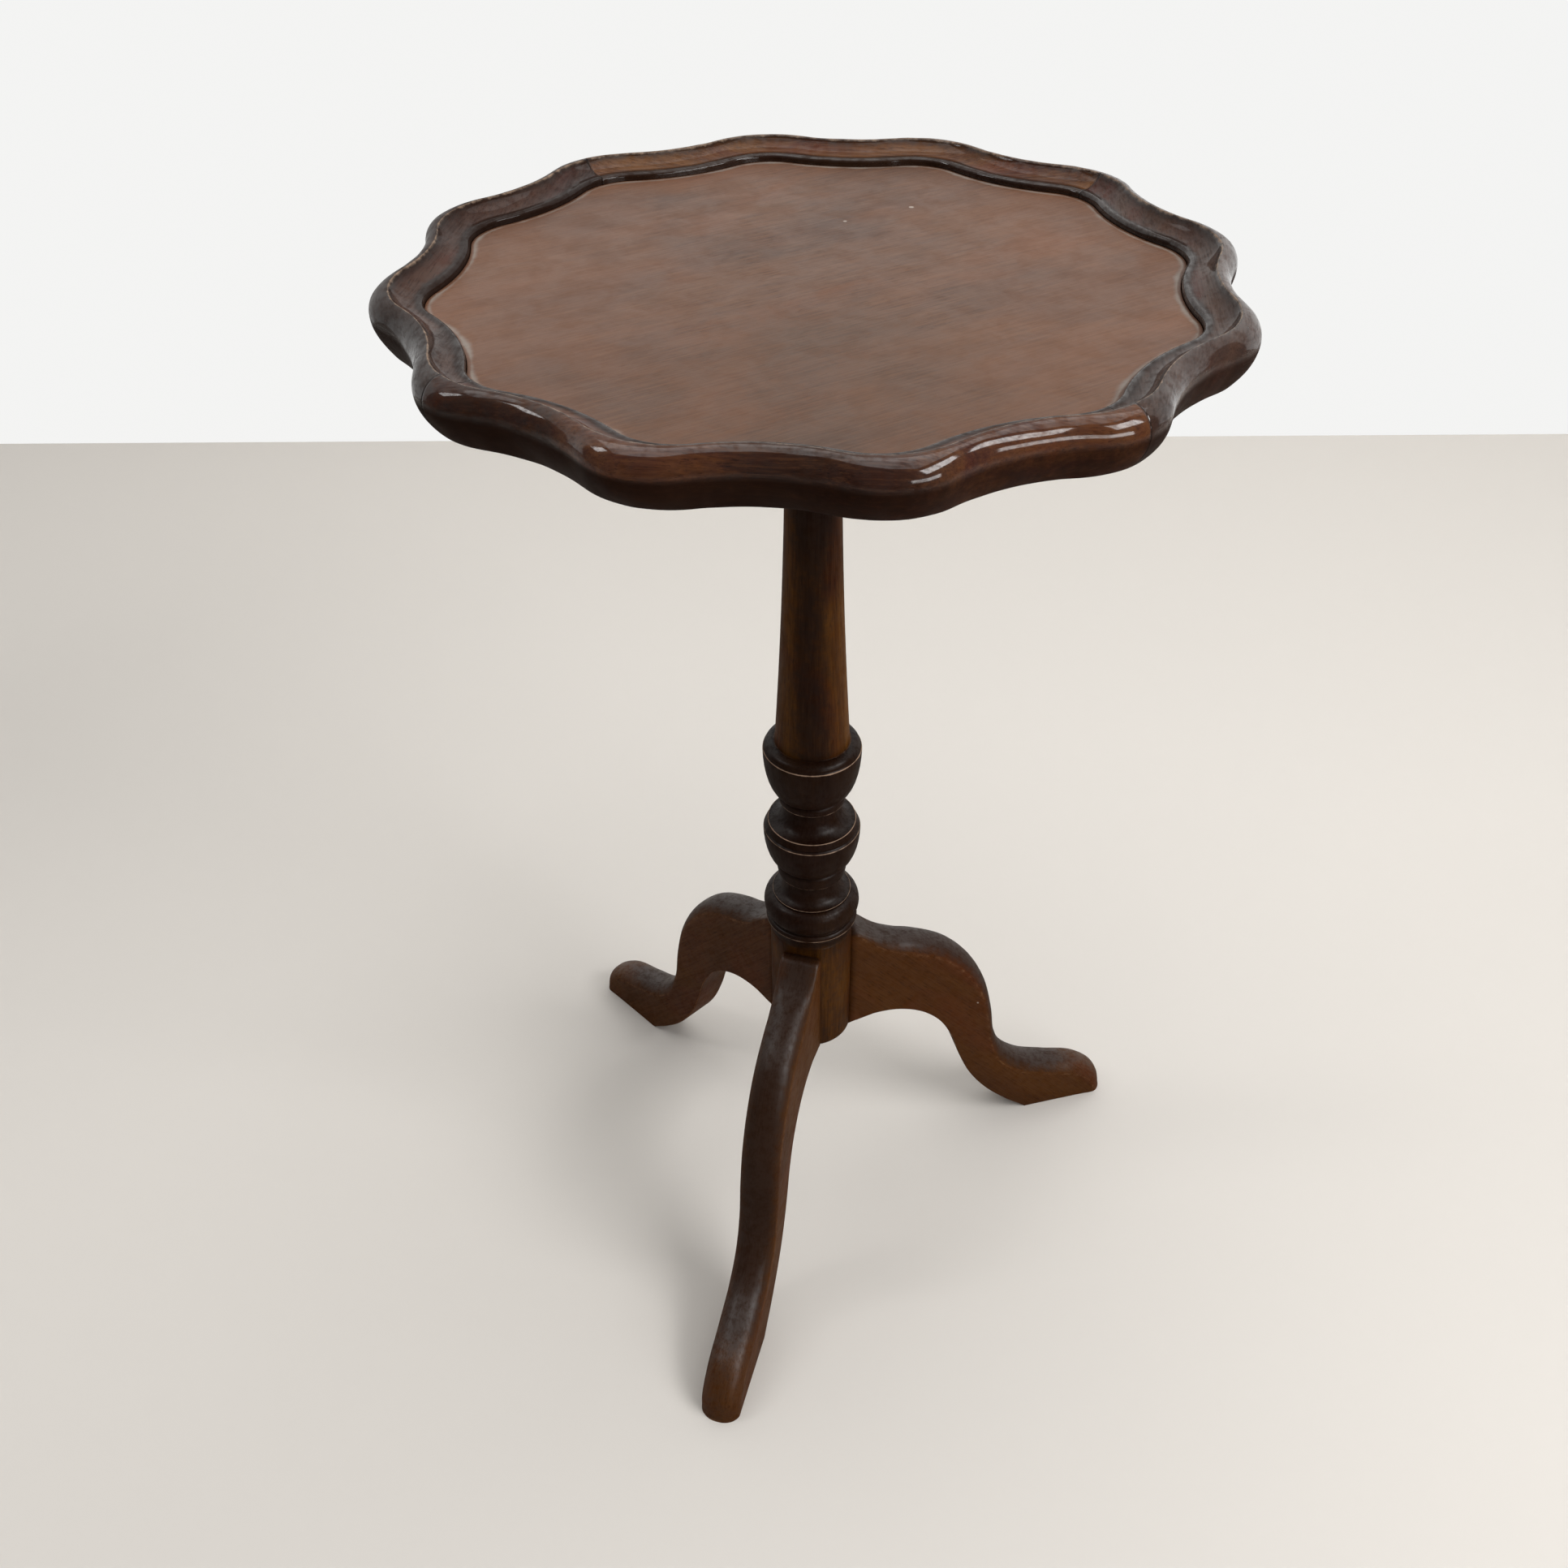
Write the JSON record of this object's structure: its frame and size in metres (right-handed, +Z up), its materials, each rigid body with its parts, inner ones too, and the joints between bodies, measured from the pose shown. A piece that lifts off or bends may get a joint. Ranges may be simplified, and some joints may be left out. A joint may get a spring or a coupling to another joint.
{
  "type": "tripod wine table",
  "caption": "Small pedestal table with a dished, scalloped piecrust top on a turned column and cabriole legs, for setting down a glass or lamp.",
  "frame": {"origin": "on the floor, on the column's axis, at the middle of the plane of the three soles", "axes": "+Z up along the column, -Y along the front leg, +X to the right seen from the front leg"},
  "size_m": [0.3232, 0.3418, 0.52],
  "materials": {
    "panel_wood": "waxed satin mahogany, mid brown",
    "rim_wood": "polished mahogany, dark brown",
    "column_wood": "polished mahogany, dark brown",
    "leg_wood": "waxed satin mahogany, dark brown",
    "bearer_wood": "unpolished mahogany",
    "screw_steel": "dull steel"
  },
  "bodies": {
    "root": {"top_panel": "panel_wood", "rim_segment_back": "rim_wood", "rim_segment_left": "rim_wood", "rim_segment_front": "rim_wood", "rim_segment_right": "rim_wood", "bearer_block": "bearer_wood", "bearer_screws": "screw_steel", "column": "column_wood", "tenon_wedge": "bearer_wood", "leg_front": "leg_wood", "leg_right": "leg_wood", "leg_left": "leg_wood"}
  },
  "joints": []
}
